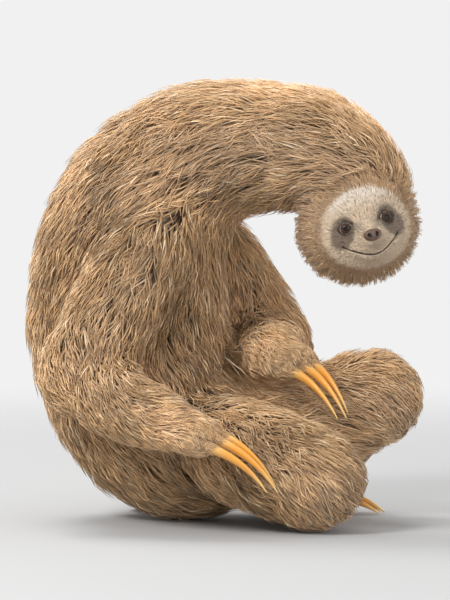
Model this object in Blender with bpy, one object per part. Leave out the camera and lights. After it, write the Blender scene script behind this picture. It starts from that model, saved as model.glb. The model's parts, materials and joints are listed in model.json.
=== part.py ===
"""A three-toed sloth, life size, as a still museum model.

It sits curled on its rump with the back rounded, the knees drawn up and the long arms laid
over the legs, and it turns its face to one side. Each solid reaches out to the tips of the
coat. Run it with: blender --background --python part.py

The animal's own axes are those of the empty "animal": x forwards, y to its left and z up from
the floor. The head's parts hang on the empty "skull": x out through the nose, y to its left and
z up through the crown. A limb's own z runs along it from its upper joint, which is its origin.
"""

import math

import bmesh
import bpy
from mathutils import Matrix, Vector
from mathutils.bvhtree import BVHTree

# ---- Driving dimensions: metres and degrees ----

ANIMAL_TURN = -20.0  # the whole animal about z, so that the chest opens towards -Y
SIDES = (("right", -1), ("left", 1))  # with the sign of y, and so of outwards
GAP = 0.0004  # left between neighbouring solids

# Sections of trunk and neck, from the rump to the base of the skull: x, z, half depth,
# half width. The last ones lie inside the head.
SPINE = [
    (0.012, 0.070, 0.056, 0.064),
    (-0.036, 0.0745, 0.083, 0.088),
    (-0.081, 0.103, 0.099, 0.100),
    (-0.112, 0.170, 0.106, 0.103),
    (-0.115, 0.240, 0.105, 0.102),
    (-0.100, 0.302, 0.099, 0.099),
    (-0.065, 0.348, 0.088, 0.091),
    (-0.020, 0.372, 0.077, 0.081),
    (0.036, 0.3765, 0.068, 0.072),
    (0.097, 0.370, 0.064, 0.066),
    (0.138, 0.334, 0.053, 0.055),
]
SPINE_RINGS = 18
NECK_RING = 12  # the ring where the neck begins
TAIL = ((-0.088, 0.026, 0.040), (-0.130, 0.078, 0.0170))
TAIL_RADII = (0.027, 0.024, 0.018)

# The head: half sizes of the furred ball, and how it is turned.
HEAD_CENTRE = (0.138, -0.022, 0.299)
HEAD_HALF_WIDTH = 0.067
HEAD_HALF_HEIGHT = 0.062
HEAD_FRONT = 0.038
HEAD_BACK = 0.058
HEAD_TURN = 60.0  # to its right
HEAD_RAISE = 4.0
HEAD_TILT = 15.0  # its left side up

# Soft features of the head: direction (forwards, left, up), rise, spread in degrees, paired.
HEAD_FEATURES = [
    ((1.0, 0.0, -0.36), 0.0165, 17.5, False),  # muzzle
    ((1.0, 0.0, -0.20), 0.0030, 8.0, False),  # bridge of the nose
    ((1.0, 0.52, 0.02), -0.0050, 13.0, True),  # eye hollow
    ((1.0, 0.42, 0.52), 0.0030, 13.0, True),  # brow
    ((0.7, 0.70, -0.45), 0.0040, 20.0, True),  # cheek
    ((0.9, 0.00, -0.85), 0.0020, 12.0, False),  # chin
]
EYE_PLACE = (0.0306, 0.0192, 0.0010)  # centre of the left eyeball, head axes
EYE_RADIUS = 0.0082
NOSE_PLACE = (0.0510, 0.0, -0.0115)
NOSE_HALF_SIZES = (0.0054, 0.0084, 0.0060)
NOSE_TIP_BACK = 18.0  # the pad leans back at its top

# Limbs, for the right side and the left side: joints in the animal's axes.
JOINTS = {
    "right": {
        "shoulder": (-0.068, -0.062, 0.272),
        "elbow": (-0.119, -0.119, 0.152),
        "wrist": (-0.020, -0.149, 0.110),
        "knuckles": (0.024, -0.152, 0.095),
        "hip": (0.018, -0.052, 0.078),
        "knee": (0.112, -0.083, 0.0530),
        "ankle": (0.074, -0.010, 0.030),
        "toes": (0.080, 0.034, 0.017),
    },
    "left": {
        "shoulder": (-0.052, 0.070, 0.268),
        "elbow": (-0.004, 0.126, 0.168),
        "wrist": (0.034, 0.016, 0.170),
        "knuckles": (0.070, -0.010, 0.158),
        "hip": (0.018, 0.052, 0.082),
        "knee": (0.119, 0.081, 0.122),
        "ankle": (0.016, 0.108, 0.030),
        "toes": (0.059, 0.114, 0.017),
    },
}
# Where the back of each hand faces.
HAND_BACK = {"right": (0.25, -0.45, 0.86), "left": (0.30, -0.50, 0.80)}

UPPER_ARM_RADII = (0.050, 0.050, 0.047)
FOREARM_RADII = (0.037, 0.041, 0.032)
HAND_HALF_WIDTHS = (0.025, 0.029, 0.027)
HAND_HALF_DEPTHS = (0.021, 0.021, 0.017)
THIGH_RADII = (0.056, 0.057, 0.055)
SHIN_RADII = (0.041, 0.041, 0.033)
FOOT_HALF_WIDTHS = (0.025, 0.029, 0.026)
FOOT_HALF_DEPTHS = (0.025, 0.023, 0.018)
LIMB_BOW = 0.006  # how far a limb's middle stands out from the straight line

# Claws: three to a foot, each an arc that bends towards the palm or sole.
HAND_CLAW = {"length": 0.084, "bend": 62.0, "spacing": 0.0140, "lift": 12.0}
FOOT_CLAW = {"length": 0.054, "bend": 42.0, "spacing": 0.0138, "lift": 22.0}
CLAW_HALF_HEIGHT = 0.0070
CLAW_HALF_WIDTH = 0.0050
CLAW_TIP = 0.10  # the tip's size as a share of the root's
CLAW_ROOT = 0.012  # the length hidden in the fingertips
CLAW_START = 0.002  # how far the root lies short of the last joint
CLAW_RISE = 0.002  # how far the middle claw's root lies above the other two
CLAW_SHARES = {"inner": 0.93, "middle": 1.0, "outer": 0.90}
CLAW_FAN = 5.0  # degrees that the side claws lean in towards the middle one

LIMB_ROUND = 12  # corners of a limb's section
SPINE_ROUND = 18
FLOOR_BLOCK = 0.8  # the side of the block that flattens what meets the floor

COLOURS = {
    "coat": ((0.27, 0.19, 0.11, 1.0), 0.85),
    "face_coat": ((0.60, 0.50, 0.40, 1.0), 0.80),
    "nose_skin": ((0.10, 0.06, 0.035, 1.0), 0.40),
    "eye": ((0.02, 0.012, 0.008, 1.0), 0.08),
    "claw_horn": ((0.66, 0.40, 0.13, 1.0), 0.35),
}

# ---- Scene, materials and placing ----


def clear_scene():
    for obj in list(bpy.data.objects):
        bpy.data.objects.remove(obj)


def make_collection(name):
    made = bpy.data.collections.new(name)
    bpy.context.scene.collection.children.link(made)
    return made


def make_material(name):
    colour, roughness = COLOURS[name]
    made = bpy.data.materials.new(name)
    made.use_nodes = True
    shader = made.node_tree.nodes["Principled BSDF"]
    shader.inputs["Base Color"].default_value = colour
    shader.inputs["Roughness"].default_value = roughness
    shader.inputs["Metallic"].default_value = 0.0
    return made


clear_scene()
SLOTH = make_collection("three_toed_sloth")
CUTTERS = make_collection("cutters")
MATERIALS = {name: make_material(name) for name in COLOURS}
NODES = []  # the solids, the ones that keep their whole shape first


def add_empty(name, parent, location=(0, 0, 0), rotation=(0, 0, 0)):
    empty = bpy.data.objects.new(name, None)
    SLOTH.objects.link(empty)
    empty.parent = parent
    empty.location = location
    empty.rotation_euler = [math.radians(angle) for angle in rotation]
    return empty


ROW = add_empty("row", None)
ANIMAL = add_empty("animal", ROW, rotation=(0, 0, ANIMAL_TURN))
SKULL = add_empty("skull", ANIMAL, HEAD_CENTRE, (HEAD_TILT, -HEAD_RAISE, -HEAD_TURN))


def add_node(name, mesh, slot, parent, location=(0, 0, 0), rotation=(0, 0, 0)):
    """Adds a solid under its parent; rotation is in radians."""
    bm = bmesh.new()
    bm.from_mesh(mesh)
    bmesh.ops.triangulate(bm, faces=bm.faces)  # flat faces part cleanly
    bm.to_mesh(mesh)
    bm.free()
    mesh.name = name
    if not mesh.materials:
        mesh.materials.append(MATERIALS[slot])
    mesh.shade_smooth()
    mesh.set_sharp_from_angle(angle=math.radians(40))
    node = bpy.data.objects.new(name, mesh)
    SLOTH.objects.link(node)
    node.parent = parent
    node.location = location
    node.rotation_euler = rotation
    NODES.append(node)
    return node


# ---- Lofted forms ----


def smooth_values(values, count):
    """count vectors along a Catmull-Rom curve through the values, ends included."""
    points = [Vector(v) for v in values]
    first = 2 * points[0] - points[1]
    last = 2 * points[-1] - points[-2]
    points = [first, *points, last]
    spans = len(points) - 3
    made = []
    for i in range(count):
        place = i * spans / (count - 1)
        span = min(int(place), spans - 1)
        t = place - span
        a, b, c, d = points[span : span + 4]
        bend = 2 * a - 5 * b + 4 * c - d
        twist = 3 * b - a - 3 * c + d
        made.append(0.5 * (2 * b + (c - a) * t + bend * t**2 + twist * t**3))
    return made


def smooth_sizes(sizes, count):
    return [v.x for v in smooth_values([(size, 0, 0) for size in sizes], count)]


def sections(centres, half_widths, half_depths, sideways):
    """Elliptical sections across a line of centres: centre, along, side, width, depth."""
    made = []
    last = len(centres) - 1
    for i, centre in enumerate(centres):
        along = (centres[min(i + 1, last)] - centres[max(i - 1, 0)]).normalized()
        side = (sideways - sideways.dot(along) * along).normalized()
        made.append((centre, along, side, half_widths[i], half_depths[i]))
    return made


def rounded_end(section, outwards, cap_rings):
    """The sections of a round cap beyond an end section, and its pole."""
    centre, along, side, width, depth = section
    reach = min(width, depth) * outwards
    made = []
    for k in range(1, cap_rings + 1):
        angle = k * math.pi / 2 / (cap_rings + 1)
        size = math.cos(angle)
        out = along * reach * math.sin(angle)
        made.append((centre + out, along, side, width * size, depth * size))
    return made, centre + along * reach


def closed_body(rings, around, start_caps=2, end_caps=2):
    """A closed mesh through the sections; an end with no cap rings is flat."""
    start, start_pole = rounded_end(rings[0], -1, start_caps)
    end, end_pole = rounded_end(rings[-1], 1, end_caps)
    bm = bmesh.new()
    loops = []
    for centre, along, side, width, depth in [*reversed(start), *rings, *end]:
        across = along.cross(side)
        loop = []
        for k in range(around):
            turn = 2 * math.pi * k / around
            out = side * width * math.cos(turn) + across * depth * math.sin(turn)
            loop.append(bm.verts.new(centre + out))
        loops.append(loop)
    for lower, upper in zip(loops, loops[1:]):
        for k in range(around):
            n = (k + 1) % around
            bm.faces.new((lower[k], lower[n], upper[n], upper[k]))
    for loop, pole, caps in ((loops[0], start_pole, start_caps), (loops[-1], end_pole, end_caps)):
        if caps == 0:
            bm.faces.new(loop)
            continue
        tip = bm.verts.new(pole)
        for k in range(around):
            bm.faces.new((loop[k], loop[(k + 1) % around], tip))
    bmesh.ops.recalc_face_normals(bm, faces=bm.faces)
    mesh = bpy.data.meshes.new("form")
    bm.to_mesh(mesh)
    bm.free()
    return mesh


def add_limb(name, start, end, half_widths, half_depths, sideways, bow=(0, 0, 0), rings=4):
    """A furred length of a limb, from its upper joint to its lower one, a little bowed."""
    start = Vector(start)
    reach = Vector(end) - start
    along = reach.normalized()
    side = (sideways - sideways.dot(along) * along).normalized()
    axes = Matrix((side, along.cross(side), along))
    tip = Vector((0, 0, reach.length))
    middle = tip / 2 + axes @ Vector(bow)
    centres = smooth_values([(0, 0, 0), middle, tip], rings)
    widths = smooth_sizes(half_widths, rings)
    depths = smooth_sizes(half_depths, rings)
    mesh = closed_body(sections(centres, widths, depths, Vector((1, 0, 0))), LIMB_ROUND)
    return add_node(name, mesh, "coat", ANIMAL, start, axes.transposed().to_euler())


# ---- Head, eyes and nose ----


def head_radius(direction):
    """How far the furred head reaches from its centre in a direction, in skull axes."""
    front = HEAD_FRONT if direction.x > 0 else HEAD_BACK
    ball = Vector(
        (direction.x / front, direction.y / HEAD_HALF_WIDTH, direction.z / HEAD_HALF_HEIGHT)
    )
    radius = 1 / ball.length
    for towards, rise, spread, paired in HEAD_FEATURES:
        for side in (1, -1) if paired else (1,):
            aim = Vector((towards[0], side * towards[1], towards[2]))
            share = direction.angle(aim) / math.radians(spread)
            radius += rise * math.exp(-0.5 * share * share)
    return radius


def ball_mesh(segments, rings):
    bpy.ops.mesh.primitive_uv_sphere_add(segments=segments, ring_count=rings, radius=1)
    ball = bpy.context.object
    mesh = ball.data
    bpy.data.objects.remove(ball)
    return mesh


def add_head():
    mesh = ball_mesh(26, 16)
    face_on = Matrix.Rotation(math.pi / 2, 3, "Y")  # a pole points out of the face
    for vertex in mesh.vertices:
        direction = (face_on @ vertex.co).normalized()
        vertex.co = direction * head_radius(direction)
    add_node("head", mesh, "face_coat", SKULL)


def add_face_parts():
    for side, sign in SIDES:
        eye = ball_mesh(12, 8)
        eye.transform(Matrix.Scale(EYE_RADIUS, 4))
        place = (EYE_PLACE[0], sign * EYE_PLACE[1], EYE_PLACE[2])
        add_node(f"eye_{side}", eye, "eye", SKULL, place)
    nose = ball_mesh(12, 8)
    nose.transform(Matrix.Diagonal((*NOSE_HALF_SIZES, 1)))
    lean = (0, math.radians(-NOSE_TIP_BACK), 0)
    add_node("nose", nose, "nose_skin", SKULL, NOSE_PLACE, lean)


# ---- Hands, feet and claws ----


def claw_mesh(kind, share):
    """A claw that leaves its root along z and bends down from y, as a tapering arc."""
    bend = math.radians(kind["bend"])
    lift = math.radians(kind["lift"])
    curve = (kind["length"] * share + CLAW_ROOT) / bend
    rings = 7
    centres, heights, widths = [], [], []
    for i in range(rings):
        t = i / (rings - 1)
        slope = lift - bend * t
        out = curve * (math.sin(lift) - math.sin(slope))
        rise = curve * (math.cos(slope) - math.cos(lift))
        centres.append(Vector((0, rise, out)))
        size = 1 - (1 - CLAW_TIP) * t**1.5
        heights.append(CLAW_HALF_HEIGHT * size)
        widths.append(CLAW_HALF_WIDTH * size)
    return closed_body(sections(centres, widths, heights, Vector((1, 0, 0))), 6, 0, 1)


def add_clawed(name, start, end, back, half_widths, half_depths, claws, spacing, inwards):
    """A hand or foot, whose own y is its back, with its claws; inwards is the sign of x."""
    start, end = Vector(start), Vector(end)
    sideways = Vector(back).cross((end - start).normalized())
    limb = add_limb(name, start, end, half_widths, half_depths, sideways, rings=3)
    reach = (end - start).length - CLAW_START
    for digit, aside in (("inner", inwards), ("middle", 0), ("outer", -inwards)):
        place = (aside * spacing, CLAW_RISE * (1 - abs(aside)), reach)
        lean = (0, math.radians(-CLAW_FAN * aside), 0)
        add_node(f"{name}_claw_{digit}", claws[digit], "claw_horn", limb, place, lean)


def add_hands_and_feet():
    hand_claws = {digit: claw_mesh(HAND_CLAW, share) for digit, share in CLAW_SHARES.items()}
    foot_claws = {digit: claw_mesh(FOOT_CLAW, share) for digit, share in CLAW_SHARES.items()}
    for side, sign in SIDES:
        at = JOINTS[side]
        add_clawed(f"hand_{side}", at["wrist"], at["knuckles"], HAND_BACK[side],
                   HAND_HALF_WIDTHS, HAND_HALF_DEPTHS,
                   hand_claws, HAND_CLAW["spacing"], -sign)  # fmt: skip
        add_clawed(f"foot_{side}", at["ankle"], at["toes"], (0, 0, 1),
                   FOOT_HALF_WIDTHS, FOOT_HALF_DEPTHS,
                   foot_claws, FOOT_CLAW["spacing"], -sign)  # fmt: skip


# ---- Limbs, trunk, neck and tail ----


def add_limbs():
    for side, sign in SIDES:
        at = JOINTS[side]
        outwards = Vector((0, sign, 0))
        aside = outwards * LIMB_BOW
        add_limb(f"forearm_{side}", at["elbow"], at["wrist"], FOREARM_RADII, FOREARM_RADII,
                 outwards, (0, 0, -LIMB_BOW))  # fmt: skip
        add_limb(f"shin_{side}", at["knee"], at["ankle"], SHIN_RADII, SHIN_RADII,
                 outwards, (LIMB_BOW, 0, 0))  # fmt: skip
        add_limb(f"upper_arm_{side}", at["shoulder"], at["elbow"], UPPER_ARM_RADII,
                 UPPER_ARM_RADII, outwards, aside)  # fmt: skip
        add_limb(f"thigh_{side}", at["hip"], at["knee"], THIGH_RADII, THIGH_RADII,
                 outwards, aside)  # fmt: skip


def add_trunk_and_neck():
    """One body along the spine, parted across where the neck begins."""
    centres = smooth_values([(x, 0, z) for x, z, _, _ in SPINE], SPINE_RINGS)
    depths = smooth_sizes([depth for _, _, depth, _ in SPINE], SPINE_RINGS)
    widths = smooth_sizes([width for _, _, _, width in SPINE], SPINE_RINGS)
    rings = sections(centres, widths, depths, Vector((0, 1, 0)))
    base, along, *section = rings[NECK_RING]
    trunk = closed_body(rings[: NECK_RING + 1], SPINE_ROUND, 3, 0)
    neck_rings = [(base + along * GAP, along, *section), *rings[NECK_RING + 1 :]]
    neck = closed_body(neck_rings, SPINE_ROUND, 0, 2)
    for name, mesh, origin in (("trunk", trunk, centres[0]), ("neck", neck, base)):
        mesh.transform(Matrix.Translation(-origin))
        add_node(name, mesh, "coat", ANIMAL, origin)


# ---- Parting the solids ----

# A solid keeps its shape where it meets one that comes later here.
KEEPS_SHAPE = ("eye_", "nose", "claw", "hand_", "foot_", "forearm_", "shin_", "upper_arm_",
               "thigh_", "tail", "head", "neck", "trunk")  # fmt: skip


def rank(node):
    return min(i for i, word in enumerate(KEEPS_SHAPE) if word in node.name)


def make_cutter(cutter):
    CUTTERS.objects.link(cutter)
    cutter.hide_render = True
    cutter.display_type = "WIRE"
    return cutter


def cut(node, cutter):
    boolean = node.modifiers.new(f"less_{cutter.name}", "BOOLEAN")
    boolean.operation = "DIFFERENCE"
    boolean.object = cutter


def grown_copy(node):
    """A cutter that stands proud of a solid by the gap."""
    cutter = make_cutter(bpy.data.objects.new(f"{node.name}_grown", node.data))
    cutter.parent = node.parent
    cutter.location = node.location
    cutter.rotation_euler = node.rotation_euler
    swell = cutter.modifiers.new("gap", "DISPLACE")
    swell.strength = GAP
    swell.mid_level = 0.0
    return cutter


def part_neighbours():
    """Cuts each solid by those of a lower rank that it meets."""
    bpy.context.view_layer.update()
    trees = {}
    for node in NODES:
        bm = bmesh.new()
        bm.from_mesh(node.data)
        bm.transform(node.matrix_world)
        trees[node] = BVHTree.FromBMesh(bm)
        bm.free()
    ordered = sorted(NODES, key=rank)
    grown = {}
    for i, node in enumerate(ordered):
        for other in ordered[:i]:
            if not trees[node].overlap(trees[other]):
                continue
            if other not in grown:
                grown[other] = grown_copy(other)
            cut(node, grown[other])


def flatten_underside():
    """Cuts level what reaches the floor, as fur and flesh are pressed flat there."""
    bpy.ops.mesh.primitive_cube_add(size=FLOOR_BLOCK, location=(0, 0, -FLOOR_BLOCK / 2))
    floor = bpy.context.object
    floor.name = "floor_block"
    for home in floor.users_collection:
        home.objects.unlink(floor)
    make_cutter(floor)
    for node in NODES:
        if min((node.matrix_world @ v.co).z for v in node.data.vertices) < 0:
            cut(node, floor)


def centre_on_origin():
    """Moves the row so that the middle of its box stands over the origin."""
    bpy.context.view_layer.update()
    graph = bpy.context.evaluated_depsgraph_get()
    corners = []
    for node in NODES:
        shaped = node.evaluated_get(graph)
        corners += [shaped.matrix_world @ v.co for v in shaped.data.vertices]
    for k in range(2):
        low, high = min(c[k] for c in corners), max(c[k] for c in corners)
        ROW.location[k] = -(low + high) / 2


add_face_parts()
add_hands_and_feet()
add_limbs()
add_limb("tail", *TAIL, TAIL_RADII, TAIL_RADII, Vector((0, 1, 0)), rings=3)
add_head()
add_trunk_and_neck()
part_neighbours()
flatten_underside()
centre_on_origin()
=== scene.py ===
"""The looks of a life-size three-toed sloth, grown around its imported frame.

One skin is fused from the solids of flesh and drawn in by the depth of the coat. The face is
modelled on it, with lids, lips and folds. Tufts of hair grow on the skin, follow the lie of the
coat, and reach back out to the solids' outline. Eyes, nose and claws are pieces of their own,
and short hair covers the claws' roots. Skin and tufts take their colour from the same function
of place.

Lengths are in metres. Skull axes are x out through the nose, y to the animal's left and z up
through the crown, from the middle of the head. Body axes are x forwards, y left and z up.
"""

import json
import math

import bmesh
import bpy
import numpy as np
from mathutils import Matrix, Vector
from mathutils.bvhtree import BVHTree
from mathutils.kdtree import KDTree

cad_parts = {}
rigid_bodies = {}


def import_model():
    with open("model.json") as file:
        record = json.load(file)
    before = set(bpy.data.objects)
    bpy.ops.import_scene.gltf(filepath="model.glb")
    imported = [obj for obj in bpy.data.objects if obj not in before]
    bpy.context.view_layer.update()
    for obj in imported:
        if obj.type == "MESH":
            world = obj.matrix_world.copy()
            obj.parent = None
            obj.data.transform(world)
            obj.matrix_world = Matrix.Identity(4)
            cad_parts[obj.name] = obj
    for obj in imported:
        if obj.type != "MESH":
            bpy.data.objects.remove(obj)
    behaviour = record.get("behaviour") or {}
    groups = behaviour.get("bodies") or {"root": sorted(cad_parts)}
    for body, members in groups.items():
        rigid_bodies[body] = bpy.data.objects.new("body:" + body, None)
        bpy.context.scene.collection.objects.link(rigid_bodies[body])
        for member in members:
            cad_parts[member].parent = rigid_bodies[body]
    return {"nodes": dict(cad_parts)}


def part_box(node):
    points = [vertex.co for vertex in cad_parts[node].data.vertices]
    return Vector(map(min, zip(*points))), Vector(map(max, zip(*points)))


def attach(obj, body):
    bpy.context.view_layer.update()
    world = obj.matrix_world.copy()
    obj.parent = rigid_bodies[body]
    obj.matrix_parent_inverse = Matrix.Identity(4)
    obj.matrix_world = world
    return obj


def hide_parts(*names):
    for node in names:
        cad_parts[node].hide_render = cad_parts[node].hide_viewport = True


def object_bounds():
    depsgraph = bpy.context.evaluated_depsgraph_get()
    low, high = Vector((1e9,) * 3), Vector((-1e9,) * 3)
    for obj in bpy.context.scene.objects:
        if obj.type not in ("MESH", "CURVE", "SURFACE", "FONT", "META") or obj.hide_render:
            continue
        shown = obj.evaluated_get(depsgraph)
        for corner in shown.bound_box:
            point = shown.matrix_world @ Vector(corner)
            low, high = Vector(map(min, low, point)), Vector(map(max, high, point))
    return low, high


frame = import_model()
CAD_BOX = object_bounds()
RANDOM = np.random.default_rng(11)

# ---- What the frame is made of ----

SIDES = (("right", -1), ("left", 1))
LIMB_PARTS = ("upper_arm", "forearm", "hand", "thigh", "shin", "foot")
FLESH = ["head", "neck", "trunk", "tail"] + [f"{p}_{s}" for s, _ in SIDES for p in LIMB_PARTS]
CLAWS = [
    f"{limb}_{side}_claw_{digit}"
    for limb in ("hand", "foot")
    for side, _ in SIDES
    for digit in ("inner", "middle", "outer")
]

# Coat of each part: depth, length of hair, width of a tuft.
COAT = {
    "head": (0.0150, 0.030, 0.00144),
    "neck": (0.0185, 0.042, 0.00189),
    "trunk": (0.0220, 0.050, 0.00216),
    "tail": (0.0080, 0.022, 0.00144),
    "upper_arm": (0.0170, 0.045, 0.00205),
    "forearm": (0.0130, 0.039, 0.00189),
    "hand": (0.0048, 0.017, 0.00117),
    "thigh": (0.0170, 0.043, 0.00205),
    "shin": (0.0120, 0.034, 0.00178),
    "foot": (0.0048, 0.015, 0.00117),
}
FACE_COAT = (0.0024, 0.0066, 0.00052)
FRINGE_COAT = (0.0013, 0.0105, 0.00090)  # over the claws' roots

VOXEL = 0.0040  # the grid that fuses the solids
CLOSE_GAP = 0.0012  # how far each solid grows to meet its neighbours
NODE_REACH = 0.045  # how far from a node its share of the coat is looked for
NODE_BLEND = 0.006  # how softly one node's coat passes into the next one's
BODY_TURN = math.radians(-20.0)  # the body's forwards, from +X
CURL_FROM_HEAD = (-0.118, 0.022, -0.069)  # centre of the body's curl, body axes
DROOP = 0.35  # how strongly the hair hangs

# ---- The head, in skull axes ----

EYE_PLACE = (0.0306, 0.0192, 0.0010)
NOSE_DROP = math.atan2(0.0125, 0.0204)  # from between the eyes down to the nose
HEAD_FRONT, HEAD_BACK, HEAD_SIDE, HEAD_TOP = 0.038, 0.058, 0.067, 0.062
# Soft forms of the head as in the solids: direction, rise, spread in degrees, paired.
HEAD_FORMS = [
    ((1.0, 0.0, -0.36), 0.0165, 17.5, False),  # muzzle
    ((1.0, 0.0, -0.20), 0.0030, 8.0, False),  # bridge of the nose
    ((1.0, 0.52, 0.02), -0.0050, 13.0, True),  # eye hollow
    ((1.0, 0.42, 0.52), 0.0030, 13.0, True),  # brow
    ((0.7, 0.70, -0.45), 0.0040, 20.0, True),  # cheek
    ((0.9, 0.00, -0.85), 0.0020, 12.0, False),  # chin
]
FACE_HALF_WIDTH, FACE_HALF_HEIGHT, FACE_LOW = 0.0415, 0.0370, -0.0045
EYE_RADIUS = 0.0082
GAZE = (1.0, 0.30, 0.06)  # where the left eye looks
OPENING = (math.radians(48), math.radians(42))  # half width and half height between the lids
LID_GAP, LID_RISE, LID_CREASE, LID_BLEND = 0.00075, 0.0011, 0.0005, 0.0010
MOUTH_HALF_WIDTH, MOUTH_CURVE = 0.0275, 1.7
MOUTH_LOW, MOUTH_RISE = -0.0300, 0.0140  # height of the mouth's middle, rise of its corners


def linear(red, green, blue):
    """A colour of the screen, 0 to 255, as linear light."""
    shares = np.array((red, green, blue)) / 255
    return np.where(shares <= 0.04045, shares / 12.92, ((shares + 0.055) / 1.055) ** 2.4)


COAT_COLOUR = linear(232, 190, 141)
COAT_DARK = linear(188, 151, 108)
COAT_LIGHT = linear(250, 223, 184)
HOOD_COLOUR = linear(200, 162, 119)
FACE_COLOUR = linear(222, 200, 172)
BROW_COLOUR = linear(236, 224, 208)
# colour of the eye patches, and of the painted shade under the nose
PATCH_AND_SHADE_COLOUR = linear(132, 112, 94)
LIP_COLOUR = linear(52, 38, 30)
NOSE_COLOUR = linear(84, 61, 45)
CLAW_ROOT, CLAW_MIDDLE = linear(222, 182, 114), linear(226, 157, 64)
CLAW_TIP = linear(236, 194, 122)
SKIN_SHADE = 0.66  # the skin is darker than the hair over it

# ---- Arrays ----


def unit(vectors):
    return vectors / np.maximum(np.linalg.norm(vectors, axis=-1, keepdims=True), 1e-9)


def ramp(values, low, high):
    """0 at low, 1 at high, and smooth in between; low may be the greater."""
    t = np.clip((values - low) / (high - low), 0, 1)
    return t * t * (3 - 2 * t)


def bump(values, centre, spread):
    return np.exp(-0.5 * ((values - centre) / spread) ** 2)


def mix(a, b, share):
    share = np.asarray(share)[..., None]
    return a + (b - a) * share


def along_surface(vectors, normals):
    """The part of vectors that runs along a surface with these normals."""
    return vectors - (vectors * normals).sum(1, keepdims=True) * normals


def nearest_of(points, others):
    """For each point, the index of the nearest of the others."""
    tree = KDTree(len(others))
    for i, other in enumerate(others):
        tree.insert(other, i)
    tree.balance()
    return np.array([tree.find(point)[1] for point in points])


def waves(points, scale, seed):
    """Smooth soft noise from -1 to 1, the same in every run."""
    dice = np.random.default_rng(seed)
    total = np.zeros(len(points))
    for _ in range(6):
        towards = unit(dice.normal(size=3)) * scale * dice.uniform(0.6, 1.7)
        total += np.sin(points @ towards + dice.uniform(0, 2 * math.pi))
    return total / 3.2


def read(items, name, width, whole=False):
    """A row of values for each item, floats or, if whole, integers."""
    values = np.empty(len(items) * width, np.int32 if whole else np.float32)
    items.foreach_get(name, values)
    return values.reshape(-1, width).astype(int if whole else float)


def corners_of(mesh):
    return read(mesh.vertices, "co", 3)


def read_edges(mesh):
    return read(mesh.edges, "vertices", 2, whole=True)


def read_triangles(mesh):
    """Corner vertices and corner loops of the mesh's triangles."""
    mesh.calc_loop_triangles()
    return [read(mesh.loop_triangles, name, 3, whole=True) for name in ("vertices", "loops")]


def smoothed(values, edges, rounds):
    """Values at a mesh's vertices, drawn halfway to their neighbours' mean in each round."""
    count = len(values)
    flat = values.reshape(count, -1).copy()
    one, two = edges[:, 0], edges[:, 1]
    around = np.bincount(one, minlength=count) + np.bincount(two, minlength=count)
    for _ in range(rounds):
        for k in range(flat.shape[1]):
            column = flat[:, k]
            total = np.bincount(one, column[two], count) + np.bincount(two, column[one], count)
            flat[:, k] = column + 0.5 * (total / around - column)
    return flat.reshape(values.shape)


# ---- Objects ----


def add_object(name, data):
    made = bpy.data.objects.new(name, data)
    bpy.context.scene.collection.objects.link(made)
    return made


def mesh_of(bm, name):
    """A mesh with the bmesh's shape; the bmesh goes."""
    mesh = bpy.data.meshes.new(name)
    bm.to_mesh(mesh)
    bm.free()
    return mesh


def applied(obj):
    """The object's mesh with its modifiers; the object goes."""
    seen = obj.evaluated_get(bpy.context.evaluated_depsgraph_get())
    mesh = bpy.data.meshes.new_from_object(seen)
    bpy.data.objects.remove(obj)
    return mesh


def centre(node):
    low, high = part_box(node)
    return np.array((low + high) / 2)


def node_points(node):
    return corners_of(frame["nodes"][node].data)


def node_tree(node):
    mesh = frame["nodes"][node].data
    faces = [tuple(polygon.vertices) for polygon in mesh.polygons]
    return BVHTree.FromPolygons([vertex.co for vertex in mesh.vertices], faces)


def welded(node):
    """A node's solid as a bmesh with its corners joined."""
    bm = bmesh.new()
    bm.from_mesh(frame["nodes"][node].data)
    bmesh.ops.remove_doubles(bm, verts=bm.verts, dist=1e-5)
    return bm


def near_box(points, node, limit):
    """Indices of the points in a node's box, with a limit around it."""
    low, high = (np.array(corner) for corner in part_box(node))
    return np.nonzero(((points > low - limit) & (points < high + limit)).all(1))[0]


def place_vertices(mesh, points):
    mesh.vertices.foreach_set("co", points.astype(np.float32).ravel())
    mesh.update()


def paint(mesh, colours):
    rgba = np.ones((len(colours), 4), np.float32)
    rgba[:, :3] = colours
    layer = mesh.color_attributes.new("tint", "FLOAT_COLOR", "POINT")
    layer.data.foreach_set("color", rgba.ravel())


# ---- Axes of the head and the body ----


def skull_axes():
    """Rows are forwards, left and up, and the middle of the head."""
    left_eye, right_eye = centre("eye_left"), centre("eye_right")
    left = unit(left_eye - right_eye)
    between = (left_eye + right_eye) / 2
    to_nose = centre("nose") - between
    to_nose = unit(to_nose - (to_nose @ left) * left)
    across = np.cross(to_nose, left)
    forwards = math.cos(NOSE_DROP) * to_nose + math.sin(NOSE_DROP) * across
    up = np.cross(forwards, left)
    middle = between - EYE_PLACE[0] * forwards - EYE_PLACE[2] * up
    return np.array((forwards, left, up)), middle


SKULL, SKULL_MIDDLE = skull_axes()
BODY = np.array(
    (
        (math.cos(BODY_TURN), math.sin(BODY_TURN), 0),
        (-math.sin(BODY_TURN), math.cos(BODY_TURN), 0),
        (0, 0, 1),
    )
)
CURL_CENTRE = SKULL_MIDDLE + np.array(CURL_FROM_HEAD) @ BODY


def to_skull(points):
    return (points - SKULL_MIDDLE) @ SKULL.T


def from_skull(points):
    return points @ SKULL + SKULL_MIDDLE


def to_body(points):
    return (points - CURL_CENTRE) @ BODY.T


def face_place(places):
    """0 in the middle of the face, 1 at its rim, more beyond; skull axes."""
    across = places[:, 1] / FACE_HALF_WIDTH
    high = (places[:, 2] - FACE_LOW) / FACE_HALF_HEIGHT
    rim = np.sqrt(across**2 + high**2)
    return np.where(places[:, 0] > 0, rim, 1.5 + rim)


def mouth_height(across):
    """The height of the mouth's line at a distance from the middle."""
    share = np.abs(across) / MOUTH_HALF_WIDTH
    return MOUTH_LOW + MOUTH_RISE * share**MOUTH_CURVE


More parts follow.
